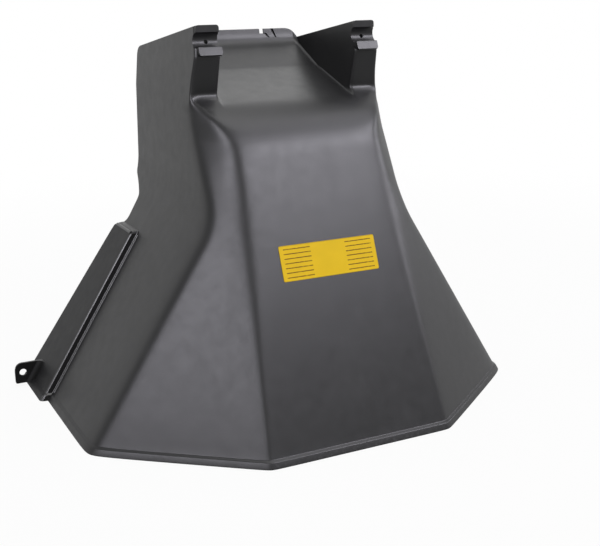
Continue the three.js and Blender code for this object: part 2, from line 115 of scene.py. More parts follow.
def mathOn(tree, operation, first, second=0):
    node = addNode(tree, "ShaderNodeMath", operation=operation)
    feed(tree, node.inputs[0], first)
    feed(tree, node.inputs[1], second)
    return node.outputs[0]


def productOn(tree, product, *factors):
    for factor in factors:
        product = mathOn(tree, "MULTIPLY", product, factor)
    return product


# 1 where a value lies between two others, and 0 elsewhere
def betweenOn(tree, value, low, high):
    above = mathOn(tree, "GREATER_THAN", value, low)
    return mathOn(tree, "MULTIPLY", above, mathOn(tree, "LESS_THAN", value, high))


def mixOn(tree, factor, first, second):
    node = addNode(tree, "ShaderNodeMix", data_type="RGBA")
    feed(tree, node.inputs[0], factor)
    feed(tree, node.inputs[6], first)
    feed(tree, node.inputs[7], second)
    return node.outputs[2]


# start up to one value, 1 from another on, and smooth between them
def spreadOn(tree, value, low, high, start=0.0):
    node = addNode(tree, "ShaderNodeMapRange", interpolation_type="SMOOTHSTEP")
    tree.links.new(value, node.inputs["Value"])
    node.inputs["From Min"].default_value = low
    node.inputs["From Max"].default_value = high
    node.inputs["To Min"].default_value = start
    return node.outputs["Result"]


def bumpOn(tree, height, strength, distance, before=None):
    bump = addNode(tree, "ShaderNodeBump")
    bump.inputs["Strength"].default_value = strength
    bump.inputs["Distance"].default_value = distance
    tree.links.new(height, bump.inputs["Height"])
    if before:
        tree.links.new(before, bump.inputs["Normal"])
    return bump.outputs["Normal"]


# the hood's sizes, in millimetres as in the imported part, turned into metres as each mesh is made
millimetre = 0.001
hoodShape = {
    "wall": 3.5,
    "over": 12,                    # how far walls and cuts run past the finished edges
    "levelBelow": 12,              # the wall is moved in level up to this height
    "outletHalfWidth": 329,
    "neck": (147, 290, 126),       # half width, height, radius of the flare
    "neckTop": (144, 429, 40),
    "topHalfWidth": 134,
    "hornHeight": 538,
    "flareTilt": 0.045,
    "rim": {"out": 3, "top": 9.5, "rounding": 1.6},
    "footEdge": (0.6, 1.2),        # how far the foot's edge is drawn in, and up to which height
    # rising paths: distance in depth or across, height, radius of the bend
    "panel": [(0, 0, 0), (172, 421, 110), (327, 469, 9)],
    "panelHalf": [(134, 0, 0), (109, 290, 126), (109, 386, 34), (131, 437, 0)],
    "fold": [(145, 0, 0), (145, 288, 90), (233, 437, 0)],
    "hornFront": [(229, 437, 0), (211, 497, 8), (222, 550, 0)],
    "rear": [(459, 0, 0), (425, 235, 12), (411, 245, 12), (415, 280, 12), (456, 309, 12), (456, 550, 0)],
    "rearCorner": 14,              # radius of the top rear corner
    "lip": {"depth": 399, "foot": 502, "footBend": 24, "lean": 7, "top": 521, "corner": 20},
    "strip": {"front": 352, "top": 240, "out": 11, "draft": 2, "endRounding": 5},
    "sideFoldRadius": (36, 34),    # at the foot and at the neck
    "frontFoldRadius": (24, 54),
    "horn": {"foot": 437, "footRise": 12, "fillet": 40, "fall": 0.165, "draft": 0.5, "footLean": 2},
    "hornWidth": 33.5,
    "hornCorners": (5, 6),         # radius at the front and at the panel
    "panelMiddleHalf": 68,
    "panelSpread": (386, 431),     # heights between which the panel's middle widens to the horns
    "sharpAngle": 32,              # degrees, above which an edge stays sharp
    # steps in a bend, and in the straight run before it
    "stripEdge": (4.6, 5, 6),      # with the radius before them
    "stripFoot": (2.2, 4, 1),
    "sideFoldSteps": (12, 10),
    "frontFoldSteps": (12, 3),
    "hornFrontSteps": (4, 2),
    "hornFootSteps": (4, 1),
    "panelSteps": 5,
    "bendTrim": (0.8, 0.45),       # least trim, and the most as a share of the shorter run
    # heights of the level sections, and the steps up to each
    "levels": [(1.2, 2), (7.9, 2), (11.1, 6), (235, 26), (239, 6), (240, 3), (253, 4), (327, 22), (380, 10),
               (425, 18), (452, 22), (463, 4), (475, 8), (494, 6), (508, 8), (521, 4), (550, 8)],
}
foldDepth = hoodShape["fold"][0][0]
rearTop = hoodShape["rear"][-1][0]
hornInner = hoodShape["topHalfWidth"] - hoodShape["hornWidth"]
hornMiddle = hoodShape["topHalfWidth"] - hoodShape["hornWidth"] / 2
cutReach = hoodShape["topHalfWidth"] + hoodShape["over"]
cutTop = hoodShape["hornHeight"] + 2 * hoodShape["over"]


# black moulded plastic
plasticLook = {
    "base": (0.0095, 0.0095, 0.0103),
    "pale": (0.0125, 0.0125, 0.0135),
    "dust": (0.03, 0.03, 0.03),
    # painted shade for the floors of the pockets in the lip
    "pocketShade": (0.001, 0.001, 0.001),
    "roughness": 0.37,
    "roughnessSpread": 0.08,
    "specular": 0.26,
    # noises: scale, detail, roughness, and the share of the scale up the hood
    "flow": (7, 4, 0.55, 0.4),
    "smear": (22, 6, 0.62, 0.3),
    "chips": (180, 5, 0.7),
    "scratch": (90, 2, 0.5, 0.035),
    "fine": (60, 5, 0.6),
    "wave": (16, 2, 0.4),
    "grain": (1400, 2, 0.5),
    # values between which a noise comes in
    "flowRange": (0.35, 0.7),
    "smearRange": (0.56, 0.8),
    "chipsRange": (0.5, 0.66),
    "scratchRange": (0.68, 0.74),
    "rubbedHeight": 0.012,         # the rim is rubbed up to here
    "rubbedEverywhere": 0.12,
    "dustShare": (0.22, 0.6),      # in the smears and on the rubbed rim
    "addedRoughness": (0.05, 0.2),
    # bumps: strength and depth
    "waveBump": (0.25, 0.0012),
    "grainBump": (0.35, 0.00012),
    "scratchBump": (0.2, 0.0001),
}
plasticLooks = {
    "blackPlastic": plasticLook,
    "stripPlastic": dict(plasticLook, roughness=0.46, specular=0.13),
    # painted shade: a darker colour for the strips' front steps and the ear's fillet
    "paintedShadePlastic": dict(plasticLook, base=(0.005, 0.005, 0.005), pale=(0.007, 0.007, 0.007),
                        roughness=0.55, specular=0.08),
    "beadPlastic": dict(plasticLook, roughness=0.33, specular=0.55),
}


def makeBlackPlastic(name, look):
    material, tree, shader = newMaterial(name, look["base"], look["roughness"], look["specular"])
    place, across, deep, up = objectPlace(tree)
    # slow cloudiness of the moulding, and dusty smears
    flow = noiseOn(tree, place, *look["flow"])
    colour = rampOn(tree, flow, look["flowRange"], (look["base"], look["pale"]))
    smear = spreadOn(tree, noiseOn(tree, place, *look["smear"]), *look["smearRange"])
    colour = mixOn(tree, mathOn(tree, "MULTIPLY", smear, look["dustShare"][0]), colour, look["dust"])
    # the rim is rubbed where it stands on the ground
    chips = spreadOn(tree, noiseOn(tree, place, *look["chips"]), *look["chipsRange"])
    low = spreadOn(tree, up, look["rubbedHeight"], 0.0)
    rubbed = mathOn(tree, "MULTIPLY", low, mathOn(tree, "ADD", chips, look["rubbedEverywhere"]))
    colour = mixOn(tree, mathOn(tree, "MULTIPLY", rubbed, look["dustShare"][1]), colour, look["dust"])
    # painted shade: the floors of the two pockets in the lip are painted near black, as they lie in shade
    pocketShade = pocketShadeMask(tree, across, deep, up)
    colour = mixOn(tree, pocketShade, colour, look["pocketShade"])
    tree.links.new(colour, shader.inputs["Base Color"])
    # roughness varies finely, and smears, rubbed stretches and the pockets are duller
    fine = mathOn(tree, "MULTIPLY", noiseOn(tree, place, *look["fine"]), look["roughnessSpread"] * 2)
    rough = mathOn(tree, "ADD", fine, look["roughness"] - look["roughnessSpread"])
    for worn, added in zip((smear, rubbed), look["addedRoughness"]):
        rough = mathOn(tree, "ADD", rough, mathOn(tree, "MULTIPLY", worn, added))
    rough = mathOn(tree, "MAXIMUM", rough, pocketShade)
    tree.links.new(rough, shader.inputs["Roughness"])
    # moulded grain over a slow unevenness, and fine scratches cut in that run down the hood
    scratch = spreadOn(tree, noiseOn(tree, place, *look["scratch"]), *look["scratchRange"])
    normal = bumpOn(tree, noiseOn(tree, place, *look["wave"]), *look["waveBump"])
    normal = bumpOn(tree, noiseOn(tree, place, *look["grain"]), *look["grainBump"], normal)
    normal = bumpOn(tree, mathOn(tree, "MULTIPLY", scratch, -1), *look["scratchBump"], normal)
    tree.links.new(normal, shader.inputs["Normal"])
    return material


pocketBox = {  # metres
    "across": (0.044, 0.070),
    "up": (0.5055, 0.5225),
    "behind": (0.0012, 0.003),     # how far behind the lip's front the floors lie
    "facing": -0.5,                # only faces whose normal points forwards by this much
}


# the mask of the pockets' floors that get the painted shade
def pocketShadeMask(tree, across, deep, up):
    box, lip = pocketBox, hoodShape["lip"]
    lean = lip["lean"] / (lip["top"] + hoodShape["over"] - lip["foot"])
    climb = mathOn(tree, "MULTIPLY", mathOn(tree, "SUBTRACT", up, lip["foot"] * millimetre), lean)
    behind = mathOn(tree, "SUBTRACT", mathOn(tree, "SUBTRACT", deep, lip["depth"] * millimetre), climb)
    normal = addNode(tree, "ShaderNodeSeparateXYZ")
    tree.links.new(addNode(tree, "ShaderNodeNewGeometry").outputs["Normal"], normal.inputs[0])
    facing = mathOn(tree, "LESS_THAN", normal.outputs[1], box["facing"])
    inside = [betweenOn(tree, value, *box[key])
              for value, key in ((across, "across"), (up, "up"), (behind, "behind"))]
    return productOn(tree, facing, *inside)


# the hood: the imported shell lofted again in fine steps, with softer folds
def roundedPath(points, steps=24):
    path = [Vector(points[0][:2])]
    for before, here, after in zip(points, points[1:], points[2:]):
        corner = Vector(here[:2])
        back = (Vector(before[:2]) - corner).normalized()
        ahead = (Vector(after[:2]) - corner).normalized()
        trim = here[2] * math.tan((math.pi - back.angle(ahead)) / 2)
        start, end = corner + back * trim, corner + ahead * trim
        for k in range(steps + 1):
            u = k / steps
            path.append(start * (1 - u) ** 2 + corner * 2 * u * (1 - u) + end * u ** 2)
    path.append(Vector(points[-1][:2]))
    return path


# the distance that a rising path has at a height
def pathByHeight(points):
    path = roundedPath(points)
    leastRise = 1e-9

    def distance(height):
        k = 1
        while k < len(path) - 1 and path[k].y < height:
            k += 1
        low, high = path[k - 1], path[k]
        return low.x + (high.x - low.x) * (height - low.y) / max(high.y - low.y, leastRise)

    return distance


def smoothStep(value, low, high):
    part = min(max((value - low) / (high - low), 0), 1)
    return part * part * (3 - 2 * part)


def blendOf(first, second, part):
    return first + (second - first) * part


# the lesser of two values, rounded off where they lie within reach of each other
def softLesser(first, second, reach):
    near = max(reach - abs(first - second), 0) / reach
    return min(first, second) - near * near * reach / 4


def sidePath():
    shape = hoodShape
    top = (shape["topHalfWidth"], shape["hornHeight"])
    return [(shape["outletHalfWidth"], 0), shape["neck"], shape["neckTop"], top]


# the front panel, the roof and the leaning lip
def panelPath():
    lip = hoodShape["lip"]
    topDepth = lip["depth"] + lip["lean"]
    return hoodShape["panel"] + [(lip["depth"], lip["foot"], lip["footBend"]),
                                 (topDepth, lip["top"] + hoodShape["over"], 0), (topDepth, cutTop, 0)]


hoodRules = {
    "side": pathByHeight(sidePath()),
    "panel": pathByHeight(panelPath()),
    "panelHalf": pathByHeight(hoodShape["panelHalf"]),
    "fold": pathByHeight(hoodShape["fold"]),
    "hornFront": pathByHeight(hoodShape["hornFront"]),
    "rear": pathByHeight(hoodShape["rear"]),
}


def wallAt(depth, height):
    return hoodRules["side"](height - hoodShape["flareTilt"] * (depth - foldDepth))


def stripOut(height):
    strip = hoodShape["strip"]
    below = min(max((strip["top"] - height) / strip["endRounding"], 0), 1)
    return strip["out"] * math.sqrt(1 - (1 - below) ** 2)


# corners of the right half of a level section: across, deep, radius, steps in the bend,
# and steps in the straight run before it
def sectionCorners(height):
    shape, horn, strip = hoodShape, hoodShape["horn"], hoodShape["strip"]
    side, rear, out = hoodRules["side"](height), hoodRules["rear"](height), stripOut(height)
    panel, hornFront = hoodRules["panel"](height), hoodRules["hornFront"](height)
    front = softLesser(panel, hornFront, horn["fillet"])
    fold = softLesser(hoodRules["fold"](height), hornFront, horn["fillet"])
    along = smoothStep(height, horn["foot"], horn["foot"] + horn["footRise"])
    up = smoothStep(height, 0, shape["neck"][1])
    corner, footCorner = shape["hornCorners"]
    sideRadius = blendOf(blendOf(*shape["sideFoldRadius"], up), corner, along)
    frontRadius = blendOf(*shape["frontFoldRadius"], up)
    facet = min(hoodRules["panelHalf"](height), side - 2 * corner)
    inner = blendOf(shape["panelMiddleHalf"], hornInner, smoothStep(height, *shape["panelSpread"]))
    lean = blendOf(horn["footLean"], horn["draft"], along)
    stripWall = wallAt(strip["front"], height)
    return [
        (wallAt(rear, height) + out, rear, 0, 0, 0),
        (stripWall + out, strip["front"], *shape["stripEdge"]),
        (stripWall, strip["front"] - strip["draft"], *shape["stripFoot"]),
        (side, fold, sideRadius, *shape["sideFoldSteps"]),
        (facet, front, frontRadius, *shape["frontFoldSteps"]),
        (inner + lean, front, corner, *shape["hornFrontSteps"]),
        (inner - lean, panel, footCorner, *shape["hornFootSteps"]),
    ]


def bendPoints(before, corner, after):
    place = Vector(corner[:2])
    back, ahead = Vector(before[:2]) - place, Vector(after[:2]) - place
    halfTurn = (math.pi - back.angle(ahead)) / 2
    least, share = hoodShape["bendTrim"]
    trim = min(max(corner[2] * math.tan(halfTurn), least), share * min(back.length, ahead.length))
    start, end = place + back.normalized() * trim, place + ahead.normalized() * trim
    points = []
    for k in range(corner[3] + 1):
        u = k / corner[3]
        weights = ((1 - u) ** 2, 2 * u * (1 - u) * math.cos(halfTurn), u ** 2)
        point = start * weights[0] + place * weights[1] + end * weights[2]
        points.append(point / sum(weights))
    return points


softening = {
    "passes": 14,
    "share": 0.5,          # how far a point moves to the middle of its neighbours
    "fades": (428, 438),   # heights between which it fades out, below the horns
    "across": (62, 82),    # it comes in between these, away from the panel's middle
    "deep": (235, 262),    # and fades out between these, on the side walls
}


# evens out the bends of a half section
def softenBends(half, height):
    rule = softening
    part = 1 - smoothStep(height, *rule["fades"])
    if part == 0:
        return half
    shares = [rule["share"] * part * smoothStep(p.x, *rule["across"]) * (1 - smoothStep(p.y, *rule["deep"]))
              for p in half]
    for _ in range(rule["passes"]):
        moved = [half[k].lerp((half[k - 1] + half[k + 1]) / 2, shares[k]) for k in range(1, len(half) - 1)]
        half = [half[0]] + moved + [half[-1]]
    return half


def levelSection(height):
    corners = sectionCorners(height)
    middle = (0, corners[-1][1])
    half = [Vector(corners[0][:2])]
    for k in range(1, len(corners)):
        after = corners[k + 1] if k + 1 < len(corners) else middle
        bend = bendPoints(corners[k - 1], corners[k], after)
        steps = corners[k][4]
        last = half[-1]
        half += [last.lerp(bend[0], j / steps) for j in range(1, steps)]
        half += bend
    steps = hoodShape["panelSteps"]
    half += [half[-1].lerp(Vector(middle), j / steps) for j in range(1, steps)]
    half = softenBends(half, height)
    right = [Vector((p.x, p.y, height)) for p in half]
    left = [Vector((-p.x, p.y, height)) for p in half]
    return left + [Vector((0, middle[1], height))] + right[::-1]


def sectionHeights():
    heights = [0]
    for high, steps in hoodShape["levels"]:
        low = heights[-1]
        heights += [low + (high - low) * k / steps for k in range(1, steps + 1)]
    return heights


def rimOut(height):
    rim = hoodShape["rim"]
    drawnIn, edge = hoodShape["footEdge"]
    stands = 1 - smoothStep(height, rim["top"] - rim["rounding"], rim["top"] + rim["rounding"])
    return rim["out"] * stands - drawnIn * (1 - smoothStep(height, 0, edge))


def meshObject(name, points, faces):
    mesh = bpy.data.meshes.new(name)
    mesh.from_pydata([Vector(p) * millimetre for p in points], [], faces)
    cage = bmesh.new()
    cage.from_mesh(mesh)
    bmesh.ops.triangulate(cage, faces=[face for face in cage.faces if len(face.verts) > 4])
    bmesh.ops.recalc_face_normals(cage, faces=cage.faces)
    cage.to_mesh(mesh)
    cage.free()
    return inScene(name, mesh)


# the outer surface, the same surface moved in by the wall, and the edges that join them
def makeShell():
    rows = [levelSection(height) for height in sectionHeights()]
    last, count, wall = len(rows) - 1, len(rows[0]), hoodShape["wall"]
    outer, inner = [], []
    for j, row in enumerate(rows):
        low, high = rows[max(j - 1, 0)], rows[min(j + 1, last)]
        for i, point in enumerate(row):
            along = row[min(i + 1, count - 1)] - row[max(i - 1, 0)]
            normal = along.cross(high[i] - low[i]).normalized()
            level = Vector((normal.x, normal.y, 0))
            outer.append(point + level.normalized() * rimOut(point.z))
            if j in (0, last) or point.z < hoodShape["levelBelow"]:
                inner.append(point - level * (wall / level.length_squared))
            else:
                inner.append(point - normal * wall)
    shift = len(outer)
    faces = []
    for j in range(last):
        for i in range(count - 1):
            a, b = j * count + i, (j + 1) * count + i
            faces.append((a, a + 1, b + 1, b))
            faces.append((shift + a + 1, shift + a, shift + b, shift + b + 1))
        a, b = j * count, (j + 1) * count
        faces.append((a, b, shift + b, shift + a))
        a, b = a + count - 1, b + count - 1
        faces.append((b, a, shift + a, shift + b))
    for i in range(count - 1):
        faces.append((i + 1, i, shift + i, shift + i + 1))
        a = last * count + i
        faces.append((a, a + 1, shift + a + 1, shift + a))
    return meshObject("hoodSkin", outer + inner, faces)


# an outline of (deep, up) points drawn out across, or of (across, up) points drawn out in depth
def makePrism(outline, low, high, deepWise=False, shift=None):
    def place(a, b, c):
        return (a, c, b) if deepWise else (c, a, b)

    count = len(outline)
    points = [place(a, b, low) for a, b in outline] + [place(a, b, high) for a, b in outline]
    faces = [tuple(range(count)), tuple(range(count, 2 * count))]
    faces += [(k, (k + 1) % count, count + (k + 1) % count, count + k) for k in range(count)]
    prism = meshObject("cutter", points, faces)
    if shift:
        prism.data.transform(shift)
    return prism


def makeRod(diameter, length, start, direction, sides=48):
    cage = bmesh.new()
    radius = diameter / 2 * millimetre
    bmesh.ops.create_cone(cage, cap_ends=True, segments=sides, radius1=radius, radius2=radius,
                          depth=length * millimetre)
    mesh = bpy.data.meshes.new("cutter")
    turn = Vector(direction).to_track_quat("Z", "Y").to_matrix().to_4x4()
    middle = (Vector(start) + Vector(direction).normalized() * length / 2) * millimetre
    bmesh.ops.transform(cage, matrix=Matrix.Translation(middle) @ turn, verts=cage.verts)
    cage.to_mesh(mesh)
    cage.free()
    return inScene("cutter", mesh)


def combine(piece, other, operation):
    modifier = piece.modifiers.new("joint", "BOOLEAN")
    modifier.operation = operation
    modifier.solver = "MANIFOLD"
    modifier.object = other
    result = finishedMesh(piece)
    piece.modifiers.remove(modifier)
    piece.data = result
    bpy.data.objects.remove(other)


headShape = {
    "groove": (213, 519, 20, 0.5),  # depth, height, diameter before clearance, clearance
    "tilt": 0.3,
    "land": 10,
    "upperStandOut": (2, 2.5),     # at the top and at the groove
    "lowerStandOut": (3.5, 4.5),   # at the groove and at the foot
    "chamfer": 1.5,
    "back": 5,
    "inset": 0.4,
    "overlap": 1,                  # how far the lands reach into the groove and the wall below
    "cornerRadius": (4.5, 7),      # above and below
    "screwHole": 5.5,
    "boss": (14, 16, 1),           # diameter, length, distance behind the groove's floor
    "waist": 211,
}


def hornTopAt(depth):
    return hoodShape["hornHeight"] - hoodShape["horn"]["fall"] * (depth - headShape["groove"][0])


def quarter(start, corner, end, steps=6):
    start, corner, end = Vector(start), Vector(corner), Vector(end)
    return [tuple(start * (1 - u) ** 2 + corner * 2 * u * (1 - u) + end * u ** 2)
            for u in (k / steps for k in range(steps + 1))]


def sideTopCut(side):
    radius, beyond = hoodShape["rearCorner"], rearTop + hoodShape["over"]
    below = hornTopAt(rearTop) - radius
    outline = [(foldDepth, hornTopAt(foldDepth))]
    outline += quarter((rearTop - radius, hornTopAt(rearTop - radius)), (rearTop, hornTopAt(rearTop)),
                       (rearTop, below))
    outline += [(beyond, below), (beyond, cutTop), (foldDepth, cutTop)]
    return makePrism(outline, *sorted((side * hornInner, side * cutReach)))


def lipTopCut(steps=10):
    half, height, radius = hornInner, hoodShape["lip"]["top"], hoodShape["lip"]["corner"]
    outline = quarter((-half, height - radius), (-half, height), (radius - half, height), steps)
    outline += quarter((half - radius, height), (half, height), (half, height - radius), steps)
    outline += [(half, cutTop), (-half, cutTop)]
    return makePrism(outline, foldDepth, rearTop + hoodShape["over"], True)


# closes a horn above, from its head to the lip
def hornCap(side):
    wall, lip = hoodShape["wall"], hoodShape["lip"]
    front, rear = headShape["groove"][0] + headShape["back"], lip["depth"] + lip["lean"] + wall
    outline = [(front, hornTopAt(front) - wall), (rear, hornTopAt(rear) - wall), (rear, hornTopAt(rear)),
               (front, hornTopAt(front))]
    near, far = hornInner + wall / 2, hoodShape["topHalfWidth"] - wall / 2
    return makePrism(outline, *sorted((side * near, side * far)))


# the head of a horn: two lands with the saddle's groove between them, and rounded edges
def saddleBlock(side):
    head, over = headShape, hoodShape["over"]
    depth, height, diameter, clearance = head["groove"]
    radius = diameter / 2 + clearance
    top, foot = hornTopAt(depth), height - radius - head["land"]
    back = depth + radius + head["back"]

    def faceAt(level):
        return depth + head["tilt"] * (level - height)

    upper, lower, overlap = head["upperStandOut"], head["lowerStandOut"], head["overlap"]
    outline = [
        (faceAt(top) - upper[0], top),
        (faceAt(top) - upper[1], height + radius - overlap),
        (depth, height),
        (faceAt(foot + head["land"]) - lower[0], foot + head["land"] + overlap),
        (faceAt(foot) - lower[1], foot + head["chamfer"]),
        (faceAt(foot) - lower[1] + head["chamfer"], foot),
        (head["waist"] + hoodShape["wall"], foot - overlap),
        (back, foot),
        (back, hornTopAt(back)),
    ]
    block = makePrism(outline, *sorted((0, side * cutReach)))
    half = hoodShape["hornWidth"] / 2 - head["inset"]
    left, right = side * hornMiddle - half, side * hornMiddle + half
    low, high = foot - overlap, hoodShape["hornHeight"]
    above, below = head["cornerRadius"]
    face = quarter((left, low + below), (left, low), (left + below, low))
    face += quarter((right - below, low), (right, low), (right, low + below))
    face += quarter((right, high - above), (right, high), (right - above, high))
    face += [(right - above, high + 2 * overlap), (left + above, high + 2 * overlap)]
    face += quarter((left + above, high), (left, high), (left, high - above))
    combine(block, makePrism(face, depth - over, back + over, True), "INTERSECT")
    return block


def screwLine(side):
    depth, height = headShape["groove"][:2]
    return Vector((side * hornMiddle, depth, height)), Vector((0, 1, -headShape["tilt"])).normalized()


def screwBoss(side):
    middle, direction = screwLine(side)
    diameter, length, gap = headShape["boss"]
    return makeRod(diameter, length, middle + direction * (headShape["groove"][2] / 2 + gap), direction)


def screwHole(side):
    middle, direction = screwLine(side)
    return makeRod(headShape["screwHole"], headShape["boss"][1] + headShape["groove"][2], middle, direction)


def saddleGroove():
    depth, height, diameter, clearance = headShape["groove"]
    return makeRod(diameter + 2 * clearance, 2 * cutReach, (-cutReach, depth, height), (1, 0, 0))


lipShape = {
    "notch": (43, 7, 7),             # place, width, depth
    "slots": [(48.5, 6), (60, -1)],  # place, and how far below the lip's top the slot starts
    "slotWidths": (4.5, 2),
    "slotDepth": 13,
    "slotSlant": 6,
    "recess": 2.3,
}


def lipNotch():
    place, width, depth = lipShape["notch"]
    lip, over = hoodShape["lip"], hoodShape["over"]
    left, right, top = place - width / 2, place + width / 2, lip["top"]
    outline = [(left, top - depth), (right, top - depth), (right, top + over), (left, top + over)]
    return makePrism(outline, lip["depth"] - over, lip["depth"] + lip["lean"] + over, True)


def lipSlots():
    lip, over = hoodShape["lip"], hoodShape["over"]
    rise = lip["top"] - lip["foot"]
    wide, thin = lipShape["slotWidths"]
    turn = Matrix.Rotation(-math.atan2(lip["lean"], rise + over), 4, "X")
    turn = Matrix.Translation((0, lip["depth"] * millimetre, lip["foot"] * millimetre)) @ turn
    for place, start in lipShape["slots"]:
        end = place + lipShape["slotSlant"]
        outline = [(place - wide / 2, rise - start), (end - thin / 2, rise - lipShape["slotDepth"]),
                   (end + thin / 2, rise - lipShape["slotDepth"]), (place + wide / 2, rise - start)]
        yield makePrism(outline, -over, lipShape["recess"], True, turn)


earShape = {
    "depth": 427,
    "thickness": 4,
    "reach": 368,
    "foot": 4,
    "top": 36,
    "hole": (11, 6.5, 21),   # diameter, wall beside it, height
    "holeOver": 8,           # how far the hole's cutter stands out on each face
    "footCorner": 2.5,
    "cornerSteps": (12, 4),  # in the round end above, and in the corner at the foot
    "fillet": 12,
    "filletSink": (1.75, 0.5),  # into the wall and into the ear
    "sink": 2.1,
}


def stripSurface(depth, height):
    return wallAt(depth, height) + stripOut(height)


def earPlate():
    ear = earShape
    diameter, beside, height = ear["hole"]
    tip, foot, top, corner = -ear["reach"], ear["foot"], ear["top"], ear["footCorner"]
    across = tip + beside + diameter / 2
    low = -stripSurface(ear["depth"], foot) + ear["sink"]
    high = -stripSurface(ear["depth"], top) + ear["sink"]
    outline = [(low, foot), (high, top)]
    outline += quarter((across, top), (tip, top), (tip, height), ear["cornerSteps"][0])
    outline += quarter((tip, foot + corner), (tip, foot), (tip + corner, foot), ear["cornerSteps"][1])
    front, over = ear["depth"] - ear["thickness"] / 2, ear["holeOver"]
    plate = makePrism(outline, front, front + ear["thickness"], True)
    hole = makeRod(diameter, ear["thickness"] + 2 * over, (across, front - over, height), (0, 1, 0))
    combine(plate, hole, "DIFFERENCE")
    return plate


def earFillet(steps=12):
    ear = earShape
    wallSink, earSink = ear["filletSink"]
    front, radius = ear["depth"] - ear["thickness"] / 2 + earSink, ear["fillet"]
    points = []
    for height in (ear["foot"], ear["top"]):
        surface = -stripSurface(front, height)
        for k in range(steps + 1):
            angle = k / steps * math.pi / 2
            across, deep = surface - radius * (1 - math.sin(angle)), front - radius * (1 - math.cos(angle))
            points.append((across, deep, height))
        points.append((surface + wallSink, front - radius, height))
        points.append((surface + wallSink, front, height))
    count = len(points) // 2
    faces = [(k, (k + 1) % count, count + (k + 1) % count, count + k) for k in range(count)]
    faces += [tuple(range(count)), tuple(range(count, 2 * count))]
    return meshObject("cutter", points, faces)


def shadeByAngle(piece, sharpAngle):
    cage = bmesh.new()
    cage.from_mesh(piece.data)
    for face in cage.faces:
        face.smooth = True
    for edge in cage.edges:
        edge.smooth = edge.is_manifold and edge.calc_face_angle() < math.radians(sharpAngle)
    cage.to_mesh(piece.data)
    cage.free()
    weights = piece.modifiers.new("evenShading", "WEIGHTED_NORMAL")
    weights.keep_sharp = True
    weights.weight = 100  # the larger faces decide


# the raised strips and the ear have come out of the mould duller, and the edges of the steps are rubbed
# bright;
# the strips' front steps and the ear's fillet are dullest and painted darker, as painted shade
finishAndShadeZones = {  # metres
    "stripTop": 0.2365,
    "stepDepths": (0.343, 0.355),      # the steps and their edges
    "stepTurns": (-0.3, -0.85),        # they face forwards by more than this: the edges, the steps
    "stripFront": 0.349,
    "filletAcross": -0.322,            # the ear's fillet lies further left, between these depths
    "filletDepths": (0.412, 0.4265),
    "filletTurn": -0.15,
    "earAcross": -0.336,               # what lies further left is the ear
}


def finishAndShadeAt(face):
    zone, turned = finishAndShadeZones, face.normal.y
    across, deep, height = face.center
    outward = height < zone["stripTop"] and face.normal.x * across > 0
    edgeTurn, stepTurn = zone["stepTurns"]
    if outward and zone["stepDepths"][0] < deep < zone["stepDepths"][1] and turned < edgeTurn:
        # the steps themselves get the painted shade, their edges the glossier bead plastic
        return "paintedShadePlastic" if turned < stepTurn else "beadPlastic"
    inFillet = zone["filletDepths"][0] < deep < zone["filletDepths"][1]
    if across < zone["filletAcross"] and inFillet and turned < zone["filletTurn"]:
        # the ear's fillet gets the painted shade
        return "paintedShadePlastic"
    if outward and deep > zone["stripFront"] or across < zone["earAcross"]:
        return "stripPlastic"
    return "blackPlastic"


def makeHoodSkin(plastics):
    hood = makeShell()
    for side in (-1, 1):
        combine(hood, sideTopCut(side), "DIFFERENCE")
    combine(hood, lipTopCut(), "DIFFERENCE")
    for side in (-1, 1):
        for made in (hornCap, saddleBlock, screwBoss):
            combine(hood, made(side), "UNION")
    combine(hood, saddleGroove(), "DIFFERENCE")
    for side in (-1, 1):
        combine(hood, screwHole(side), "DIFFERENCE")
    combine(hood, lipNotch(), "DIFFERENCE")
    for slot in lipSlots():
        combine(hood, slot, "DIFFERENCE")
    combine(hood, earPlate(), "UNION")
    combine(hood, earFillet(), "UNION")
    shadeByAngle(hood, hoodShape["sharpAngle"])
    hood.data.materials.clear()
    for material in plastics.values():
        hood.data.materials.append(material)
    order = list(plastics)
    for face in hood.data.polygons:
        face.material_index = order.index(finishAndShadeAt(face))
    return hood


plastics = {name: makeBlackPlastic(name, look) for name, look in plasticLooks.items()}
hoodSkin = makeHoodSkin(plastics)
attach(hoodSkin, "root")
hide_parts("deflector_hood")
print("hood finished")


# beads along the raised strips, swept by Geometry Nodes
beadShape = {  # metres
    "rootDepth": 0.3462,   # the bead lies just before the strip's foot
    "rootHeights": (0.0115, 0.2345),
    "rootPoints": 40,
    "rootRadius": 0.0014,
    "endHeight": 0.2372,   # the upper end of the strip carries a thicker one
    "endDepths": (0.3545, 0.417),
    "endPoints": 16,
    "endRadius": 0.0024,
    "sunk": 0.35,          # part of the radius that lies in the wall
    "spacing": 0.004,
    "sides": 12,
    "castFrom": 0.6,       # the wall is looked for from this far out
}


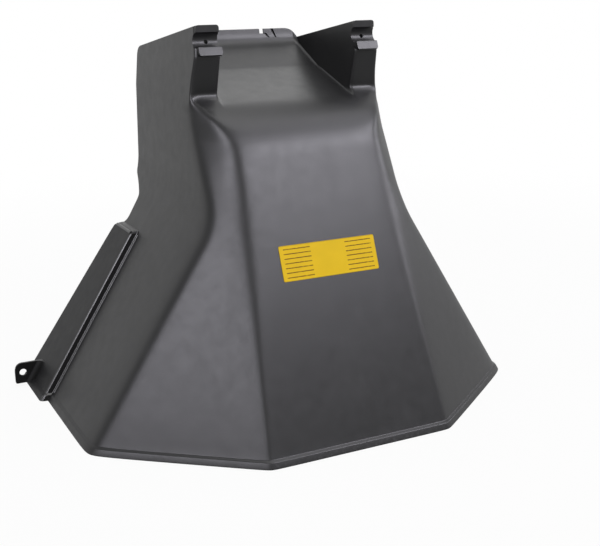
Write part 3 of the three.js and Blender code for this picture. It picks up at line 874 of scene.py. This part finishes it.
def makeBeadTree(material):
    tree = bpy.data.node_groups.new("beadSweep", "GeometryNodeTree")
    for name, kind in (("Path", "Geometry"), ("Radius", "Float"), ("Spacing", "Float"), ("Sides", "Int")):
        tree.interface.new_socket(name, in_out="INPUT", socket_type="NodeSocket" + kind)
    tree.interface.new_socket("Bead", in_out="OUTPUT", socket_type="NodeSocketGeometry")
    given = addNode(tree, "NodeGroupInput")
    curve = addNode(tree, "GeometryNodeMeshToCurve")
    steps = addNode(tree, "GeometryNodeResampleCurve", mode="LENGTH")
    ring = addNode(tree, "GeometryNodeCurvePrimitiveCircle")
    sweep = addNode(tree, "GeometryNodeCurveToMesh")
    sweep.inputs["Fill Caps"].default_value = True
    smooth = addNode(tree, "GeometryNodeSetShadeSmooth")
    real = addNode(tree, "GeometryNodeRealizeInstances")
    paint = addNode(tree, "GeometryNodeSetMaterial")
    paint.inputs["Material"].default_value = material
    result = addNode(tree, "NodeGroupOutput")
    for giver, output, taker, entry in (
        (given, "Path", curve, "Mesh"),
        (curve, "Curve", steps, "Curve"),
        (given, "Spacing", steps, "Length"),
        (given, "Radius", ring, "Radius"),
        (given, "Sides", ring, "Resolution"),
        (steps, "Curve", sweep, "Curve"),
        (ring, "Curve", sweep, "Profile Curve"),
        (sweep, "Mesh", smooth, "Geometry"),
        (smooth, "Geometry", real, "Geometry"),
        (real, "Geometry", paint, "Geometry"),
        (paint, "Geometry", result, "Bead"),
    ):
        tree.links.new(giver.outputs[output], taker.inputs[entry])
    return tree


def runTree(name, tree, points, settings):
    mesh = bpy.data.meshes.new(name + "Path")
    mesh.from_pydata(points, [(k, k + 1) for k in range(len(points) - 1)], [])
    holder = inScene(name + "Path", mesh)
    modifier = holder.modifiers.new("sweep", "NODES")
    modifier.node_group = tree
    for item in tree.interface.items_tree:
        if item.in_out == "INPUT" and item.name in settings:
            modifier[item.identifier] = settings[item.name]
    baked = finishedMesh(holder)
    holder.modifiers.remove(modifier)
    bpy.data.objects.remove(holder)
    return inScene(name, baked)


def wallPoint(wall, side, depth, height, sunk):
    start = Vector((side * beadShape["castFrom"], depth, height))
    hit = wall.ray_cast(start, Vector((-side, 0, 0)))[0]
    return (hit.x - side * sunk, hit.y, hit.z)


def spaced(low, high, count):
    return [low + (high - low) * k / (count - 1) for k in range(count)]


# the paths of one side's beads, as (depth, height) points: up the strip's foot, and over its end
def beadPaths(shape):
    rootPath = [(shape["rootDepth"], z) for z in spaced(*shape["rootHeights"], shape["rootPoints"])]
    endPath = [(y, shape["endHeight"]) for y in spaced(*shape["endDepths"], shape["endPoints"])]
    return ("RootBead", rootPath, shape["rootRadius"]), ("EndBead", endPath, shape["endRadius"])


wallTree = BVHTree.FromPolygons(
    [tuple(v.co) for v in hoodSkin.data.vertices],
    [tuple(p.vertices) for p in hoodSkin.data.polygons],
)
beadTree = makeBeadTree(plastics["beadPlastic"])
for sideName, side in (("left", -1), ("right", 1)):
    for name, path, radius in beadPaths(beadShape):
        path = [wallPoint(wallTree, side, *point, beadShape["sunk"] * radius) for point in path]
        settings = {"Radius": radius, "Spacing": beadShape["spacing"], "Sides": beadShape["sides"]}
        bead = runTree(sideName + name, beadTree, path, settings)
        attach(bead, "root")
print("beads finished")


# yellow sticker film
stickerLook = {
    "yellow": (0.80, 0.52, 0.008),
    "print": (0.09, 0.012, 0.004),
    "edge": (0.35, 0.2, 0.01),
    "roughness": 0.5,
    "specular": 0.06,
    "haze": (30, 3, 0.5),          # noises: scale, detail, roughness
    "wear": (420, 4, 0.6),
    "hazeRange": (0.3, 0.75),
    "wearRange": (0.36, 0.5),
    "paler": 1.08,                 # how much paler the haze is at most
    "hazeBump": (0.1, 0.0003),
    "middle": (0.0, 0.237),        # across, and height of the middle
    "halfSize": (0.0715, 0.022),   # half width, and half of its rise
    "ruleSpacing": 0.0058,
    "ruleStart": 100.5,            # puts a rule on the middle line, and keeps the count above zero
    "rulePart": 0.22,
    "ruleReach": (0.026, 0.0655),
    "ruleRise": 0.0185,
    "ink": (0.45, 0.4),            # where the print is worn, and what it has more elsewhere
    "dirtReach": 0.0012,
    "dirtShare": 0.5,
}


def makeStickerFilm(look):
    material, tree, shader = newMaterial("stickerFilm", look["yellow"], look["roughness"], look["specular"])
    place, across, _, up = objectPlace(tree)
    haze = noiseOn(tree, place, *look["haze"])
    pale = tuple(min(1, part * look["paler"]) for part in look["yellow"])
    colour = rampOn(tree, haze, look["hazeRange"], (look["yellow"], pale))
    # plain printed rules to the left and right of a bare middle
    fromMiddle = mathOn(tree, "ABSOLUTE", mathOn(tree, "SUBTRACT", across, look["middle"][0]))
    rise = mathOn(tree, "SUBTRACT", up, look["middle"][1])
    rows = mathOn(tree, "ADD", mathOn(tree, "DIVIDE", rise, look["ruleSpacing"]), look["ruleStart"])
    rows = mathOn(tree, "ABSOLUTE", mathOn(tree, "SUBTRACT", mathOn(tree, "FRACT", rows), 0.5))
    rise = mathOn(tree, "ABSOLUTE", rise)
    wear = spreadOn(tree, noiseOn(tree, place, *look["wear"]), *look["wearRange"])
    wear = mathOn(tree, "ADD", mathOn(tree, "MULTIPLY", wear, look["ink"][1]), look["ink"][0])
    ink = productOn(tree, mathOn(tree, "LESS_THAN", rows, look["rulePart"] / 2),
                    betweenOn(tree, fromMiddle, *look["ruleReach"]),
                    mathOn(tree, "LESS_THAN", rise, look["ruleRise"]), wear)
    colour = mixOn(tree, ink, colour, look["print"])
    # the cut edge has taken up some dirt
    edges = [spreadOn(tree, value, half - look["dirtReach"], half)
             for value, half in zip((fromMiddle, rise), look["halfSize"])]
    dirt = mathOn(tree, "MULTIPLY", mathOn(tree, "MAXIMUM", *edges), look["dirtShare"])
    colour = mixOn(tree, dirt, colour, look["edge"])
    tree.links.new(colour, shader.inputs["Base Color"])
    tree.links.new(bumpOn(tree, haze, *look["hazeBump"]), shader.inputs["Normal"])
    return material


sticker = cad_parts["sticker"]
sticker.data.materials.clear()
sticker.data.materials.append(makeStickerFilm(stickerLook))
print("sticker finished")


# floor, world and lamps
stageLook = {
    "floorSize": 40.0,
    "floorColour": (0.86, 0.86, 0.86),
    "floorRoughness": 0.9,
    "floorSpecular": 0.1,
    "floorGlow": 0.9,        # share of the glow close to the part, which keeps some shadow there
    "floorGloss": 0.8,       # what reflections see of the glow
    "floorFade": (0.7, 2.2),  # distances between which the glow becomes full
    "worldLight": 0.5,
}


# 1 for the rays that see the background as it is: the camera's, and those in gloss and glass
def plainSight(tree):
    rays = addNode(tree, "ShaderNodeLightPath").outputs
    seen = mathOn(tree, "ADD", rays["Is Camera Ray"], rays["Is Glossy Ray"])
    seen = mathOn(tree, "ADD", seen, rays["Is Transmission Ray"])
    return mathOn(tree, "MINIMUM", seen, 1.0), rays["Is Glossy Ray"]


def makeFloor(look):
    half = look["floorSize"] / 2
    mesh = bpy.data.meshes.new("floor")
    corners = [(-half, -half, 0), (half, -half, 0), (half, half, 0), (-half, half, 0)]
    mesh.from_pydata(corners, [], [(0, 1, 2, 3)])
    floor = inScene("floor", mesh)
    material, tree, shader = newMaterial("floorPaper", look["floorColour"], look["floorRoughness"],
                                         look["floorSpecular"])
    glow = addNode(tree, "ShaderNodeEmission")
    glow.inputs["Color"].default_value = (1, 1, 1, 1)
    seen, glossy = plainSight(tree)
    dim = mathOn(tree, "MULTIPLY", glossy, 1 - look["floorGloss"])
    tree.links.new(mathOn(tree, "SUBTRACT", 1.0, dim), glow.inputs["Strength"])
    distance = addNode(tree, "ShaderNodeVectorMath", operation="LENGTH")
    tree.links.new(addNode(tree, "ShaderNodeTexCoord").outputs["Object"], distance.inputs[0])
    spread = spreadOn(tree, distance.outputs["Value"], *look["floorFade"], look["floorGlow"])
    mix = addNode(tree, "ShaderNodeMixShader")
    tree.links.new(mathOn(tree, "MULTIPLY", seen, spread), mix.inputs[0])
    tree.links.new(shader.outputs[0], mix.inputs[1])
    tree.links.new(glow.outputs[0], mix.inputs[2])
    tree.links.new(mix.outputs[0], tree.nodes["Material Output"].inputs["Surface"])
    mesh.materials.append(material)


def makeWorld(look):
    world = bpy.data.worlds.new("studio")
    bpy.context.scene.world = world
    world.use_nodes = True
    tree = world.node_tree
    background = tree.nodes["Background"]
    background.inputs["Color"].default_value = (1, 1, 1, 1)
    level = mathOn(tree, "MULTIPLY", plainSight(tree)[0], 1 - look["worldLight"])
    tree.links.new(mathOn(tree, "ADD", level, look["worldLight"]), background.inputs["Strength"])


def addSoftbox(name, place, aim, size, power, sheenOnly=False, colour=(1, 1, 1), reflected=True):
    lamp = bpy.data.lights.new(name, "AREA")
    lamp.color = colour
    lamp.shape = "RECTANGLE"
    lamp.size, lamp.size_y = size
    lamp.energy = power
    holder = inScene(name, lamp)
    holder.location = place
    holder.visible_diffuse = not sheenOnly
    holder.visible_glossy = reflected
    direction = Vector(aim) - Vector(place)
    holder.rotation_euler = direction.to_track_quat("-Z", "Y").to_euler()


coolWhite = (0.985, 0.965, 1.06)  # most cards shine a little cool
softboxes = {
    "overhead": dict(place=(0.2, 0.3, 2.6), aim=(0, 0.2, 0.3), size=(1.8, 1.4), power=30),
    "front": dict(place=(-0.9, -2.6, 1.9), aim=(0, 0.1, 0.2), size=(1.6, 1.2), power=15, reflected=False),
    "leftCard": dict(place=(-2.26, -1.38, 1.45), aim=(-0.2, 0.1, 0.2), size=(1.9, 1.4), power=97,
                     sheenOnly=True, colour=coolWhite),
    "rightCard": dict(place=(1.25, -1.65, 1.93), aim=(0, 0.15, 0.35), size=(2.6, 0.85), power=124,
                      sheenOnly=True, colour=coolWhite),
    "fillCard": dict(place=(1.31, -0.55, 2.64), aim=(0, 0.2, 0.4), size=(1.6, 1.0), power=19,
                     sheenOnly=True, colour=coolWhite),
    "sideCard": dict(place=(2.66, -0.32, 1.05), aim=(0.1, 0.15, 0.35), size=(1.4, 0.7), power=24,
                     sheenOnly=True, colour=coolWhite),
    "backCard": dict(place=(1.2, 2.3, 2.0), aim=(0, 0.25, 0.45), size=(2.4, 1.2), power=13, sheenOnly=True),
}
makeFloor(stageLook)
makeWorld(stageLook)
for name, box in softboxes.items():
    addSoftbox(name, **box)
print("stage finished")


# camera, at the photograph's place
cameraView = {
    "place": (-0.6008, -1.0449, 0.5967),
    "yaw": 26.0,     # degrees to the right of straight ahead
    "pitch": 16.44,  # degrees down
    "roll": -0.52,
    "lens": 60.18,
    "sensor": 36.0,
}


def makeCamera(view):
    yaw, pitch, roll = (math.radians(view[key]) for key in ("yaw", "pitch", "roll"))
    ahead = Vector((math.sin(yaw) * math.cos(pitch), math.cos(yaw) * math.cos(pitch), -math.sin(pitch)))
    level = Vector((math.cos(yaw), -math.sin(yaw), 0))
    upright = level.cross(ahead)
    right = math.cos(roll) * level + math.sin(roll) * upright
    up = math.cos(roll) * upright - math.sin(roll) * level
    data = bpy.data.cameras.new("camera")
    data.lens = view["lens"]
    data.sensor_width = view["sensor"]
    camera = inScene("camera", data)
    turn = Matrix((right, up, -ahead)).transposed().to_4x4()
    camera.matrix_world = Matrix.Translation(view["place"]) @ turn
    bpy.context.scene.camera = camera


makeCamera(cameraView)
bpy.context.scene.view_settings.view_transform = "Standard"
print("camera placed")
